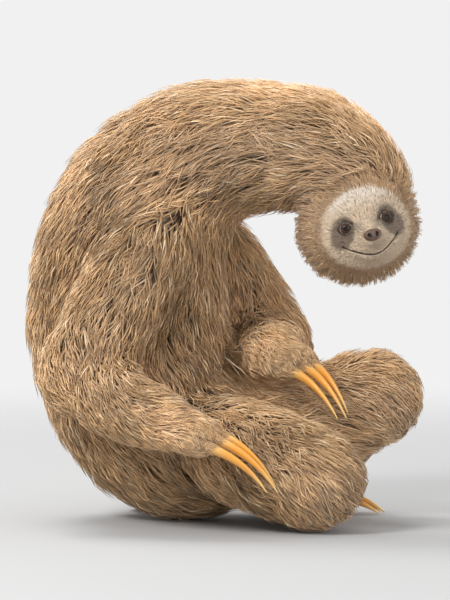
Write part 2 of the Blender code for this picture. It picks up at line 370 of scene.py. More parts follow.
def from_mouth(places):
    """Distance from the mouth's line in front view, and height over it."""
    across = np.clip(places[:, 1], -MOUTH_HALF_WIDTH, MOUTH_HALF_WIDTH)
    beyond = np.abs(places[:, 1] - across)
    share = np.abs(across) / MOUTH_HALF_WIDTH
    slope = MOUTH_CURVE * MOUTH_RISE / MOUTH_HALF_WIDTH * share ** (MOUTH_CURVE - 1)
    off = (places[:, 2] - mouth_height(across)) / np.sqrt(1 + slope**2)
    return np.hypot(off, beyond), off


# ---- Colours of skin and coat ----


STRIPE_TURN, STRIPE_HALF = math.radians(26), (0.0165, 0.0106)


def eye_patch(places):
    """How far a place lies in the dark stripe that runs from the eye out and down."""
    out = np.abs(places[:, 1]) - EYE_PLACE[1]
    down = EYE_PLACE[2] - places[:, 2]
    along = out * math.sin(STRIPE_TURN) + down * math.cos(STRIPE_TURN)
    aside = out * math.cos(STRIPE_TURN) - down * math.sin(STRIPE_TURN)
    rim = np.hypot((along - 0.0055) / STRIPE_HALF[0], (aside - 0.0008) / STRIPE_HALF[1])
    return ramp(rim, 1.12, 0.80) * (places[:, 0] > 0)


def markings(points):
    """The colour of skin and hair at each place in the row frame, as linear light."""
    places = to_skull(points)
    body = to_body(points)
    colour = mix(COAT_COLOUR, COAT_DARK, 0.5 + 0.5 * waves(points, 55, 3))
    spine = bump(body[:, 1], 0.0, 0.020) * ramp(body[:, 0], 0.02, -0.06)
    colour = mix(colour, COAT_DARK, 0.45 * spine)
    rim = face_place(places)
    colour = mix(colour, HOOD_COLOUR, ramp(rim, 2.0, 1.2))
    face = mix(FACE_COLOUR, BROW_COLOUR, ramp(places[:, 2], 0.008, 0.030))
    face = mix(face, PATCH_AND_SHADE_COLOUR, 0.95 * eye_patch(places))
    # painted shade under the nose, between nose and mouth
    muzzle = bump(np.hypot(places[:, 1], places[:, 2] + 0.0185), 0.0, 0.0045)
    face = mix(face, PATCH_AND_SHADE_COLOUR, 0.55 * muzzle)
    distance, _ = from_mouth(places)
    face = mix(face, LIP_COLOUR, ramp(distance, 0.0016, 0.0008))
    for _, sign in SIDES:
        face = mix(face, LIP_COLOUR, 0.9 * ramp(eye_place(places, sign)[0], 1.42, 1.22))
    return mix(colour, face, ramp(rim, 1.06, 0.94))


# ---- One skin ----


def fuse(nodes):
    """One mesh around the nodes' solids, each grown to meet its neighbours."""
    bm = bmesh.new()
    for node in nodes:
        part = welded(node)
        part.normal_update()
        for vertex in part.verts:
            vertex.co += vertex.normal * CLOSE_GAP
        grown = mesh_of(part, node)
        bm.from_mesh(grown)
        bpy.data.meshes.remove(grown)
    fused = add_object("fused", mesh_of(bm, "fused"))
    grid = fused.modifiers.new("grid", "REMESH")
    grid.mode = "VOXEL"
    grid.voxel_size = VOXEL
    return applied(fused)


def node_distances(points):
    """Distance of each point from each flesh node, up to a limit."""
    made = np.full((len(points), len(FLESH)), NODE_REACH)
    for k, node in enumerate(FLESH):
        tree = node_tree(node)
        for i in near_box(points, node, NODE_REACH):
            distance = tree.find_nearest(points[i], NODE_REACH)[3]
            if distance is not None:
                made[i, k] = distance
    return made


NEXT_PART = {"upper_arm": "forearm", "forearm": "hand", "thigh": "shin", "shin": "foot"}


def next_part(node):
    kind, side = node.rsplit("_", 1)
    return f"{NEXT_PART[kind]}_{side}" if kind in NEXT_PART else None


def limb_direction(node):
    """Along a limb's part, towards the claws."""
    points = node_points(node)
    middle = points.mean(0)
    spread = np.linalg.svd(points - middle, full_matrices=False)[2][0]
    if node.startswith("thigh"):
        onwards = middle - centre("trunk")
    else:
        onwards = centre(next_part(node) or f"{node}_claw_middle") - middle
    return spread * np.sign(spread @ onwards)


def along_the_limb(node, points):
    """The way the hair lies on a limb's part: along it, and round its bent end."""
    own = limb_direction(node)
    after = next_part(node)
    if after is None:
        return np.tile(own, (len(points), 1))
    follow = limb_direction(after)
    aside = unit(follow - (follow @ own) * own)
    along = node_points(node) @ own
    share = (points @ own - along.min()) / np.ptp(along)
    return own + ramp(share, 0.55, 0.95)[:, None] * (1.5 * aside - 0.5 * own)


def round_the_curl(points):
    """The way from the crown over the back to the rump."""
    body = to_body(points)
    along = np.stack((-body[:, 2], 0.22 * body[:, 1], body[:, 0]), 1)
    return unit(along) @ BODY


def over_the_head(points):
    """Away from the nose, over face and crown."""
    places = unit(to_skull(points))
    pole = unit(np.array((1.0, 0.0, -0.22)))
    away = -pole + (places @ pole)[:, None] * places
    return unit(away) @ SKULL


def lie_of_coat(points, normals, weights, edges):
    """Unit vectors along the skin, the way the hair lies."""
    flow = np.zeros_like(points)
    for k, node in enumerate(FLESH):
        if node == "head":
            part = over_the_head(points)
        elif node in ("trunk", "neck"):
            part = round_the_curl(points)
        elif node == "tail":
            part = np.tile(unit(centre("tail") - centre("trunk")), (len(points), 1))
        else:
            part = along_the_limb(node, points)
        flow += part * weights[:, k, None]
    hang = np.array((0, 0, -DROOP))
    flow += hang * ramp(face_place(to_skull(points)), 1.0, 1.4)[:, None]
    for _ in range(3):
        flow = smoothed(unit(along_surface(flow, normals)), edges, 3)
    return unit(along_surface(flow, normals))


def parting(points, flow, lengths, edges):
    """How far the hair spreads apart over its own length, from 0 where it doesn't."""
    one, two = edges[:, 0], edges[:, 1]
    step = points[two] - points[one]
    rate = ((flow[two] - flow[one]) * step).sum(1) / np.maximum((step**2).sum(1), 1e-8)
    count = len(points)
    total = np.bincount(one, rate, count) + np.bincount(two, rate, count)
    around = np.bincount(one, minlength=count) + np.bincount(two, minlength=count)
    return np.clip(smoothed(2 * total / around, edges, 4) * lengths, 0, MOST_PARTING)


def coat_sizes(points, weights):
    """Depth, length and width of the coat at each point."""
    table = np.array([COAT[n.rsplit("_", 1)[0] if n not in COAT else n] for n in FLESH])
    sizes = weights @ table
    places = to_skull(points)
    face = ramp(face_place(places), 1.45, 1.0)
    sizes = mix(sizes, np.array(FACE_COAT), face)
    muzzle = bump(np.hypot(places[:, 1], places[:, 2] + 0.018), 0, 0.013) * (places[:, 0] > 0)
    return sizes * (1 - 0.45 * muzzle[:, None] * (1, 1, 0.5))


def node_weights(points, edges):
    nearest = node_distances(points)
    weights = np.exp(-(nearest - nearest.min(1, keepdims=True)) / NODE_BLEND)
    weights /= weights.sum(1, keepdims=True)
    return smoothed(weights, edges, 4)


def draw_in(mesh):
    """Draws the fused mesh in by the coat's depth; gives the nodes' weights."""
    edges = read_edges(mesh)
    points = smoothed(corners_of(mesh), edges, 6)
    weights = node_weights(points, edges)
    place_vertices(mesh, points)
    normals = unit(smoothed(read(mesh.vertex_normals, "vector", 3), edges, 4))
    depth = coat_sizes(points, weights)[:, 0]
    points = points - normals * depth[:, None]
    place_vertices(mesh, points)
    return points, weights


FINER_WITHIN = (1.25, 1.05, 0.90)  # places on the face within which faces split again


def refine(mesh):
    """Splits the faces of the face, and more finely those of its features."""
    bm = bmesh.new()
    bm.from_mesh(mesh)
    for limit in FINER_WITHIN:
        places = to_skull(np.array([v.co for v in bm.verts]))
        inside = face_place(places) < limit
        edges = [e for e in bm.edges if all(inside[v.index] for v in e.verts)]
        bmesh.ops.subdivide_edges(bm, edges=edges, cuts=1, use_grid_fill=True, smooth=0)
        bm.verts.index_update()
    bm.to_mesh(mesh)
    bm.free()


def mirrored(place, sign):
    """A place given for the left, 1, moved to the right by -1; skull axes."""
    return np.array(place) * (1, sign, 1)


def head_reach(directions):
    """How far the furred head reaches from its middle, as in the solids."""
    half = np.tile((HEAD_FRONT, HEAD_SIDE, HEAD_TOP), (len(directions), 1))
    half[directions[:, 0] <= 0, 0] = HEAD_BACK
    reach = 1 / np.linalg.norm(directions / half, axis=1)
    for towards, rise, spread, paired in HEAD_FORMS:
        for sign in (1, -1) if paired else (1,):
            aim = unit(mirrored(towards, sign))
            angle = np.degrees(np.arccos(np.clip(directions @ aim, -1, 1)))
            reach += rise * bump(angle, 0, spread)
    return reach


def eye_frame(sign):
    """Axes of an eye, out, outwards across and up, and its centre; skull axes."""
    centre_at = mirrored(EYE_PLACE, sign)
    out = unit(mirrored(GAZE, sign))
    across = unit(np.cross(np.array((0, 0, 1.0)), out)) * sign
    up = unit(np.cross(out, across)) * sign
    return np.array((out, across, up)), centre_at


def eye_place(places, sign):
    """Place about an eye: 1 at the lids' rim, its angle up, and distance from its centre."""
    axes, centre_at = eye_frame(sign)
    seen = (places - centre_at) @ axes.T
    reach = np.linalg.norm(seen, axis=1)
    across = np.arctan2(seen[:, 1], seen[:, 0])
    up = np.arctan2(seen[:, 2], seen[:, 0])
    rim = np.hypot(across / OPENING[0], up / OPENING[1])
    return np.where(seen[:, 0] > 0, rim, 9.0), up, reach


def model_lids(places):
    """Opens the skin round each eye: lids with a crease above, and a hollow behind the ball."""
    for _, sign in SIDES:
        _, centre_at = eye_frame(sign)
        rim, up, reach = eye_place(places, sign)
        near = rim < 3.2
        way = unit(places - centre_at)
        shell = EYE_RADIUS + LID_GAP + LID_RISE * ramp(rim, 1.0, 1.8)
        shell -= LID_CREASE * bump(rim, 1.62, 0.10) * (up > 0)
        close = np.clip(1 - np.abs(reach - shell) / LID_BLEND, 0, 1)
        softened = np.maximum(reach, shell) + 0.25 * LID_BLEND * close**2
        lid = np.where(rim > 1, softened, np.minimum(reach, EYE_RADIUS - 0.0016))
        moved = centre_at + way * lid[:, None]
        places = np.where(near[:, None], moved, places)
    return places


def lip_relief(places):
    """How far the skin rises at the mouth: its line, the two lips and the corners."""
    distance, off = from_mouth(places)
    aside = np.abs(places[:, 1])
    inside = ramp(aside, MOUTH_HALF_WIDTH + 0.002, MOUTH_HALF_WIDTH - 0.003)
    line = -0.0016 * bump(distance, 0, 0.00075)
    upper = 0.0007 * bump(off, 0.0024, 0.0013) * inside
    lower = 0.0009 * bump(off, -0.0026, 0.0014) * inside
    corner = np.hypot(aside - MOUTH_HALF_WIDTH, off)
    cheek = 0.0010 * bump(corner, 0.0042, 0.0016) * (aside > MOUTH_HALF_WIDTH)
    return line + upper + lower + cheek


def fold_relief(places):
    """The groove under the nose, the folds beside it and the ridges over the eyes."""
    aside, high = np.abs(places[:, 1]), places[:, 2]
    groove = bump(aside, 0, 0.0006) * ramp(high, -0.029, -0.0275) * ramp(high, -0.018, -0.020)
    fold = bump(np.hypot(aside - 0.0125, (high + 0.010) * 0.5), 0.006, 0.0011) * (high < -0.006)
    ridge = bump(high, 0.0125, 0.0030) * bump(aside, 0.016, 0.009)
    return 0.0010 * ridge - 0.0006 * (groove + fold)


def model_face(mesh):
    """Gives the face its exact form: muzzle, lips, folds, brow and lids."""
    places = to_skull(corners_of(mesh))
    directions = unit(places)
    reach = np.linalg.norm(places, axis=1)
    wanted = head_reach(directions) - FACE_COAT[0]
    share = ramp(face_place(places), 1.02, 0.86) * ramp(np.abs(wanted - reach), 0.016, 0.008)
    reach += (wanted - reach + lip_relief(places) + fold_relief(places)) * share
    places = model_lids(directions * reach[:, None])
    place_vertices(mesh, from_skull(places))


def unwrap(obj):
    """Unwraps the object's own shape onto the map that the export keeps."""
    obj.data.uv_layers.new(name="OFBake")
    for other in bpy.context.view_layer.objects:
        other.select_set(False)
    obj.select_set(True)
    bpy.context.view_layer.objects.active = obj
    bpy.ops.object.mode_set(mode="EDIT")
    bpy.ops.mesh.select_all(action="SELECT")
    bpy.ops.uv.smart_project(angle_limit=math.radians(66), island_margin=0.002)
    bpy.ops.object.mode_set(mode="OBJECT")


def make_skin():
    mesh = fuse(FLESH)
    coarse, weights = draw_in(mesh)
    refine(mesh)
    weights = weights[nearest_of(corners_of(mesh), coarse)]
    model_face(mesh)
    mesh.shade_smooth()
    paint(mesh, SKIN_SHADE * markings(corners_of(mesh)))
    skin = add_object("skin", mesh)
    unwrap(skin)
    return skin, weights


# ---- The coat ----

LAYERS, FACE_LAYERS, FRINGE_LAYERS = 6.7, 3.8, 4.0  # how many tufts lie over each spot
MOST_PARTING = 2.5
PARTING_DENSITY = 0.8  # how much denser the coat grows where it spreads apart
STEPS = (0.0, 0.30, 0.65, 1.0)  # where a tuft's rings lie along it, the last one its tip
STEPS_SHORT = (0.0, 0.5, 1.0)
RING_WIDTHS = (0.85, 1.0, 0.72)
FLATNESS = 0.75  # a tuft's thickness, as a share of its width
LOCK_OF = 13  # tufts in a lock
LOCK_YAW, TUFT_YAW, FRINGE_YAW = 0.20, 0.12, 0.14  # how far locks and tufts turn aside
LOCK_TIGHTNESS, SWAY = 0.62, 0.030
PALE_SHARE = 0.085  # of tufts that are bleached
ROOT_PAINTED_SHADE, TIP_BRIGHTNESS = (0.54, 0.15), (1.14, 1.08)  # painted shade at a tuft's root and brightness at its tip, on the body and on the face
ROOT_SINK = 0.0006  # how deep a tuft starts in the skin
FLOOR_GAP = 0.0003  # how far hair stays above the floor


class Surface:
    """A mesh as arrays. Its kinds add the coat's lie and sizes at its vertices."""

    def __init__(self, mesh):
        self.points = corners_of(mesh)
        self.normals = read(mesh.vertex_normals, "vector", 3)
        self.triangles, self.loops = read_triangles(mesh)
        self.tree = BVHTree.FromPolygons(self.points.tolist(), self.triangles.tolist())

    def on(self, values, triangle, parts):
        """Values at the vertices, at places on triangles."""
        return (values[self.triangles[triangle]] * parts[:, :, None]).sum(1)

    def scatter(self, density):
        """Random places, so many to a square metre: triangles and corner shares."""
        corners = self.points[self.triangles]
        sides = np.cross(corners[:, 1] - corners[:, 0], corners[:, 2] - corners[:, 0])
        expected = np.linalg.norm(sides, axis=1) / 2 * density[self.triangles].mean(1)
        total = np.cumsum(expected)
        count = int(total[-1])
        drawn = (np.arange(count) + RANDOM.random(count)) / count * total[-1]
        triangle = np.minimum(np.searchsorted(total, drawn), len(total) - 1)
        root, other = np.sqrt(RANDOM.random(count)), RANDOM.random(count)
        parts = np.stack((1 - root, root * (1 - other), root * other), 1)
        return triangle, parts

    def nearest(self, points):
        """Nearest places on the surface: points and triangles."""
        found = [self.tree.find_nearest(point) for point in points.tolist()]
        return np.array([f[0] for f in found]), np.array([f[2] for f in found])


class Ground(Surface):
    """The skin, as ground for the coat."""

    def __init__(self, skin, weights):
        super().__init__(skin.data)
        edges = read_edges(skin.data)
        self.normals = unit(smoothed(self.normals, edges, 2))
        self.map = read(skin.data.uv_layers["OFBake"].uv, "vector", 2)
        self.flow = lie_of_coat(self.points, self.normals, weights, edges)
        self.sizes = coat_sizes(self.points, weights)
        self.parting = parting(self.points, self.flow, self.sizes[:, 1], edges)
        self.weights = weights


class ClawGround(Surface):
    """A claw, as ground for the paw's hair that hides its root."""

    def __init__(self, claw):
        super().__init__(claw.data)
        grain = read(claw.data.attributes["grain"].data, "vector", 3)
        share = grain[:, 1] / GRAIN_ALONG
        root = self.points[share < 0.08].mean(0)
        onwards = self.points[(share > 0.14) & (share < 0.26)].mean(0) - root
        self.flow = np.tile(unit(onwards), (len(share), 1))
        self.sizes = np.tile(FRINGE_COAT, (len(share), 1))
        self.band = ramp(share, 0.04, 0.06) * ramp(share, 0.16, 0.13)


def near_node(points, node, limit):
    """Which points lie inside a node's solid or within a limit of it."""
    tree = node_tree(node)
    made = np.zeros(len(points), bool)
    for i in near_box(points, node, limit):
        spot, normal, _, distance = tree.find_nearest(points[i])
        outside = (Vector(points[i]) - spot).dot(normal)
        made[i] = distance < limit or outside < 0
    return made


def bare(points):
    """Where no hair grows: lids, nose, lips and round the claws."""
    places = to_skull(points)
    made = from_mouth(places)[0] < 0.0011
    for _, sign in SIDES:
        made |= eye_place(places, sign)[0] < 1.24
    for node in ["nose", *CLAWS]:
        made |= near_node(points, node, 0.0006)
    return made


def turn_about(vectors, axes, angles):
    """Vectors turned by angles about unit axes that stand square to them."""
    cos, sin = np.cos(angles)[:, None], np.sin(angles)[:, None]
    return vectors * cos + np.cross(axes, vectors) * sin


def trace(ground, triangle, parts, steps, yaw, reach, top):
    """Walks each tuft over its ground: points and normals at each step, sizes at the root."""
    at = ground.on(ground.points, triangle, parts)
    normal = unit(ground.on(ground.normals, triangle, parts))
    flow = turn_about(unit(ground.on(ground.flow, triangle, parts)), normal, yaw)
    sizes = ground.on(ground.sizes, triangle, parts)
    length = sizes[:, 1] * reach
    line, normals = [at - normal * ROOT_SINK], [normal]
    for before, step in zip(steps, steps[1:]):
        go = unit(along_surface(flow, normal))
        aim = at + go * (length * (step - before))[:, None]
        spot, landed = ground.nearest(aim)
        jump = np.linalg.norm(spot - aim, axis=1) > 0.6 * length * (step - before) + 0.002
        new_normal = unit(ground.normals[ground.triangles[landed]].mean(1))
        depth = ground.sizes[ground.triangles[landed]].mean(1)[:, 0]
        new_flow = unit(ground.flow[ground.triangles[landed]].mean(1))
        spot[jump], new_normal[jump] = aim[jump], normal[jump]
        depth[jump] = sizes[jump, 0]
        turned = turn_about(new_flow, new_normal, yaw)
        flow = np.where(jump[:, None], flow, unit(flow + turned))
        at, normal = spot, new_normal
        rise = depth * top * (1 - (1 - step) ** 2.2)
        line.append(at + normal * rise[:, None])
        normals.append(normal)
    return np.stack(line, 1), np.stack(normals, 1), sizes


def gather(line, normals, leads, own_lock, steps, tightness):
    """Draws a lock's tufts sideways towards the middle of their lock."""
    roots = line[:, 0]
    away = roots - roots[leads[own_lock]]
    along = unit(line[:, -1] - line[:, 0])
    across = np.cross(normals[:, 0], along)
    off = (away * across).sum(1)
    for k, step in enumerate(steps):
        line[:, k] -= across * (off * tightness * step**1.4)[:, None]


def shape(line, normals, sizes, steps):
    """Three corners around each step of each tuft, and its tip, all off the floor."""
    widths = sizes[:, 2] * RANDOM.uniform(0.75, 1.2, len(line))
    along = unit(np.gradient(line, axis=1))
    across = unit(np.cross(along, normals))
    up = np.cross(across, along) * FLATNESS
    corners = []
    for k, share in enumerate(RING_WIDTHS[: len(steps) - 1]):
        wide = (widths * share / 2)[:, None]
        for turn in np.radians((90, 210, 330)):
            off = across[:, k] * math.cos(turn) + up[:, k] * math.sin(turn)
            corners.append(line[:, k] + off * wide)
    corners = np.stack([*corners, line[:, -1]], 1)
    corners[:, :, 2] = np.maximum(corners[:, :, 2], FLOOR_GAP)
    return corners


def tuft_faces(ring_count):
    """Triangles of one tuft, its root closed."""
    faces = [(0, 2, 1)]
    for r in range(ring_count - 1):
        for k in range(3):
            a, b = 3 * r + k, 3 * r + (k + 1) % 3
            faces += [(a, b, b + 3), (a, b + 3, a + 3)]
    last = 3 * (ring_count - 1)
    faces += [(last + k, last + (k + 1) % 3, 3 * ring_count) for k in range(3)]
    return np.array(faces)


def tuft_patch(steps):
    """Each tuft vertex's place in its own patch on the map."""
    spots = []
    for step in steps[:-1]:
        spots += [(0.0, step - 0.5), (-0.5, step - 0.5), (0.5, step - 0.5)]
    return np.array(spots + [(0.0, 0.5)])


MAP_PATCH = 0.003  # side of a tuft's patch on the map


def coat_mesh(name, corners, colours, spots, steps):
    """Joins tufts to one mesh. Corners and colours are by tuft and vertex."""
    count, each = corners.shape[:2]
    template = tuft_faces(len(steps) - 1)
    faces = (template[None] + (np.arange(count) * each)[:, None, None]).reshape(-1, 3)
    mesh = bpy.data.meshes.new(name)
    mesh.vertices.add(count * each)
    mesh.vertices.foreach_set("co", corners.astype(np.float32).ravel())
    mesh.loops.add(len(faces) * 3)
    mesh.loops.foreach_set("vertex_index", faces.astype(np.int32).ravel())
    mesh.polygons.add(len(faces))
    mesh.polygons.foreach_set("loop_start", np.arange(0, len(faces) * 3, 3, dtype=np.int32))
    mesh.update(calc_edges=True)
    mesh.shade_smooth()
    paint(mesh, colours.reshape(-1, 3))
    layer = mesh.uv_layers.new(name="OFBake")
    places = (spots[:, None] + tuft_patch(steps)[None] * MAP_PATCH).reshape(-1, 2)
    layer.uv.foreach_set("vector", places[faces.ravel()].astype(np.float32).ravel())
    return add_object(name, mesh)


def tuft_colours(roots, steps, lock_shade, light, face, apart):
    """Colour at each vertex of each tuft: painted shade at the root, as deep in the coat, less so
    where hair parts.
    """
    base = markings(roots)
    count = len(roots)
    own = RANDOM.normal(1.0, 0.09, count) * lock_shade
    own = 1 + (own - 1) * (1 - 0.6 * face)
    base = mix(base, COAT_LIGHT, light * (1 - face))
    base = base * own[:, None]
    # painted shade at the roots, lighter where the hair parts
    dark = np.interp(face, (0, 1), ROOT_PAINTED_SHADE) * (1 - 0.5 * ramp(apart, 0.2, 1.2))
    tip = np.interp(face, (0, 1), TIP_BRIGHTNESS)
    shades = []
    for step in steps[:-1]:
        shades += [1 - dark + (tip - 1 + dark) * step] * 3
    shades.append(tip)
    return base[:, None] * np.stack(shades, 1)[:, :, None]


def tuft_area(sizes):
    """What a tuft covers of the ground, from the coat's sizes."""
    return 0.6 * sizes[:, 1] * sizes[:, 2]


def grow(ground, density, steps, ruffle):
    """Grows one kind of coat over the skin; ruffle says how far its tufts stray."""
    triangle, parts = ground.scatter(density)
    roots = ground.on(ground.points, triangle, parts)
    keep = ~bare(roots)
    triangle, parts, roots = triangle[keep], parts[keep], roots[keep]
    count = len(roots)
    locks = max(8, count // LOCK_OF)
    leads = RANDOM.choice(count, locks, replace=False)
    own_lock = nearest_of(roots, roots[leads])
    yaw = RANDOM.normal(0, LOCK_YAW * ruffle, locks)[own_lock]
    yaw += RANDOM.normal(0, TUFT_YAW * ruffle, count)
    reach = RANDOM.uniform(0.82, 1.12, locks)[own_lock] * RANDOM.uniform(0.85, 1.1, count)
    top = RANDOM.uniform(0.74, 1.06, locks)[own_lock] * RANDOM.uniform(0.62, 1.0, count)
    distance, off = from_mouth(to_skull(roots))
    reach *= np.where(off > 0, ramp(distance, -0.0005, 0.0058), 1)
    line, normals, sizes = trace(ground, triangle, parts, steps, yaw, reach, top)
    gather(line, normals, leads, own_lock, steps, LOCK_TIGHTNESS * ruffle)
    sway = RANDOM.normal(0, SWAY * ruffle, count) * sizes[:, 1]
    across = unit(np.cross(line[:, -1] - line[:, 0], normals[:, 0]))
    for k, step in enumerate(steps):
        line[:, k] += across * (sway * math.sin(math.pi * 1.5 * step))[:, None]
    line[:, :, 2] = np.maximum(line[:, :, 2], 3 * FLOOR_GAP)
    corners = shape(line, normals, sizes, steps)
    face = ramp(face_place(to_skull(roots)), 1.10, 0.96)
    shade = RANDOM.normal(1.0, 0.07, locks)[own_lock]
    light = (RANDOM.random(count) < PALE_SHARE) * RANDOM.uniform(0.5, 1.0, count)
    apart = ground.on(ground.parting[:, None], triangle, parts)[:, 0]
    colours = tuft_colours(roots, steps, shade, light, face, apart)
    uv = ground.map[ground.loops[triangle]]
    spots = (uv * parts[:, :, None]).sum(1)
    return {
        "corners": corners,
        "colours": colours,
        "spots": spots,
        "group": group_of(ground.on(ground.weights, triangle, parts)),
        "steps": steps,
    }


GROUPS = ["hood", "neck", "back", "arm_right", "arm_left", "leg_right", "leg_left"]
MIDDLE_GROUPS = {"head": "hood", "neck": "neck", "trunk": "back", "tail": "back"}
MOST_TRIANGLES = 190_000  # in one piece of the coat


def group_of_node(node):
    if node in MIDDLE_GROUPS:
        return MIDDLE_GROUPS[node]
    part, side = node.rsplit("_", 1)
    return f"{'arm' if part in ('upper_arm', 'forearm', 'hand') else 'leg'}_{side}"


def group_of(weights):
    """The group of the coat that each tuft belongs to."""
    kind = np.array([GROUPS.index(group_of_node(node)) for node in FLESH])
    return kind[weights.argmax(1)]


def add_coat(name, tufts, chosen):
    """Adds the chosen tufts as pieces of a size that the export takes."""
    faces_each = len(tuft_faces(len(tufts["steps"]) - 1))
    parts = max(1, math.ceil(len(chosen) * faces_each / MOST_TRIANGLES))
    made = []
    for k, some in enumerate(np.array_split(chosen, parts)):
        arrays = [tufts[key][some] for key in ("corners", "colours", "spots")]
        made.append(coat_mesh(f"coat_{name}_{k + 1}", *arrays, tufts["steps"]))
    return made


def grow_fringe(ground, claw):
    """Grows the hair that lies out from the paw over a claw's root."""
    root = ClawGround(claw)
    triangle, parts = root.scatter(root.band * FRINGE_LAYERS / tuft_area(root.sizes))
    roots = root.on(root.points, triangle, parts)
    count = len(roots)
    yaw = RANDOM.normal(0, FRINGE_YAW, count)
    reach = RANDOM.uniform(0.55, 1.1, count)
    top = RANDOM.uniform(0.4, 1.0, count)
    line, normals, sizes = trace(root, triangle, parts, STEPS_SHORT, yaw, reach, top)
    corners = shape(line, normals, sizes, STEPS_SHORT)
    none = np.zeros(count)
    landed = ground.nearest(roots)[1]
    return {
        "corners": corners,
        "colours": tuft_colours(roots, STEPS_SHORT, np.ones(count), none, none, none),
        "spots": ground.map[ground.loops[landed]].mean(1),
    }


def add_fringes(ground, claws):
    """All claws' fringes as one kind of coat."""
    grown = [grow_fringe(ground, claw) for claw in claws]
    tufts = {key: np.concatenate([tuft[key] for tuft in grown]) for key in grown[0]}
    tufts["steps"] = STEPS_SHORT
    return add_coat("paws", tufts, np.arange(len(tufts["spots"])))


def make_coat(skin, weights, claws):
    ground = Ground(skin, weights)
    rim = face_place(to_skull(ground.points))
    face = ramp(rim, 1.12, 1.02)
    area_each = tuft_area(ground.sizes)
    dense = LAYERS / area_each * (1 + PARTING_DENSITY * ground.parting)
    long_tufts = grow(ground, dense * (1 - face), STEPS, 1.0)
    short_tufts = grow(ground, FACE_LAYERS / area_each * face, STEPS_SHORT, 0.5)
    pieces = add_coat("face", short_tufts, np.arange(len(short_tufts["group"])))
    for k, name in enumerate(GROUPS):
        chosen = np.nonzero(long_tufts["group"] == k)[0]
        if len(chosen):
            pieces += add_coat(name, long_tufts, chosen)
    return pieces + add_fringes(ground, claws)


# ---- Eyes, nose and claws ----


def sphere_mesh(segments, ring_count):
    bm = bmesh.new()
    bmesh.ops.create_uvsphere(bm, u_segments=segments, v_segments=ring_count, radius=1)
    return mesh_of(bm, "ball")


def make_eye(side, sign):
    """An eyeball with a clear cornea's bulge; its own z looks out."""
    mesh = sphere_mesh(64, 48)
    points = unit(corners_of(mesh))
    angle = np.degrees(np.arccos(np.clip(points[:, 2], -1, 1)))
    points = points * (EYE_RADIUS * (1 + 0.055 * ramp(angle, 34, 12)))[:, None]
    place_vertices(mesh, points)
    mesh.shade_smooth()
    eye = add_object(f"eyeball_{side}", mesh)
    axes, centre_at = eye_frame(sign)
    out, across, up = axes @ SKULL
    if np.linalg.det((across, up, out)) < 0:
        across = -across
    spin = Matrix((across, up, out)).transposed()
    eye.matrix_world = Matrix.LocRotScale(
        Vector(from_skull(centre_at)), spin.to_quaternion(), None
    )
    return eye


NOSE_HALF = (0.0056, 0.0087, 0.0062)  # half sizes of the nose pad, skull axes
NOSTRIL_ASIDE, NOSTRIL_LOW, NOSTRIL_DEPTH = 0.0039, 0.0014, 0.0032
NOSTRIL_HALF = (0.0014, 0.0020)


def make_nose():
    """The bare nose pad, with its nostrils and the groove between them."""
    mesh = sphere_mesh(72, 54)
    ball = unit(corners_of(mesh))
    points = ball * NOSE_HALF
    front = ramp(ball[:, 0], 0.05, 0.5)
    shade = np.ones(len(points))
    for sign in (-1, 1):
        aside = points[:, 1] - sign * (NOSTRIL_ASIDE + 0.15 * points[:, 2])
        below = points[:, 2] + NOSTRIL_LOW
        pit = np.hypot(aside / NOSTRIL_HALF[0], below / NOSTRIL_HALF[1])
        hole = bump(pit**2, 0, 1) * front
        # painted shade in the nostrils' pits
        shade *= 1 - 0.85 * hole
        points[:, 0] -= NOSTRIL_DEPTH * hole
        points[:, 0] += 0.0006 * bump(pit, 1.55, 0.4) * front
    groove = bump(points[:, 1], 0, 0.0005) * ramp(points[:, 2], 0.001, -0.002)
    points[:, 0] -= 0.0007 * groove * front
    points[:, 1] *= 1 + 0.12 * ramp(points[:, 2], -0.003, 0.004)
    tip = np.array(Matrix.Rotation(math.radians(18), 3, "Y"))
    points = points @ tip + to_skull(centre("nose"))
    place_vertices(mesh, from_skull(points))
    mesh.shade_smooth()
    paint(mesh, NOSE_COLOUR * shade[:, None])
    return add_object("nose_pad", mesh)


GRAIN_ALONG, GRAIN_ACROSS = 1.2, 3.0  # how far a claw's grain pattern runs along and across


def make_claw(node):
    """A smooth claw over its solid, with the way along it kept for its grain."""
    bm = welded(node)
    bmesh.ops.join_triangles(
        bm, faces=bm.faces, angle_face_threshold=math.radians(35),
        angle_shape_threshold=math.radians(60),
    )  # fmt: skip
    rough = add_object("rough", mesh_of(bm, node))
    smooth = rough.modifiers.new("smooth", "SUBSURF")
    smooth.levels = smooth.render_levels = 2
    mesh = applied(rough)
    points = corners_of(mesh)
    normals = read(mesh.vertex_normals, "vector", 3)
    middle = points.mean(0)
    spread = np.linalg.svd(points - middle, full_matrices=False)[2]
    outwards = np.sign(spread[0] @ (middle - centre(node.split("_claw_")[0])))
    along = (points - middle) @ spread[0] * outwards
    share = (along - along.min()) / np.ptp(along)
    colour = mix(CLAW_ROOT, CLAW_MIDDLE, ramp(share, 0.15, 0.40))
    colour = mix(colour, CLAW_TIP, ramp(share, 0.62, 1.0))
    paint(mesh, colour)
    across = normals @ spread[[2, 1]].T * GRAIN_ACROSS
    grain = np.stack((across[:, 0], share * GRAIN_ALONG, across[:, 1]), 1)
    layer = mesh.attributes.new("grain", "FLOAT_VECTOR", "POINT")
    layer.data.foreach_set("vector", grain.astype(np.float32).ravel())
    mesh.shade_smooth()
    return add_object(node.replace("claw", "horn"), mesh)


# ---- Materials ----


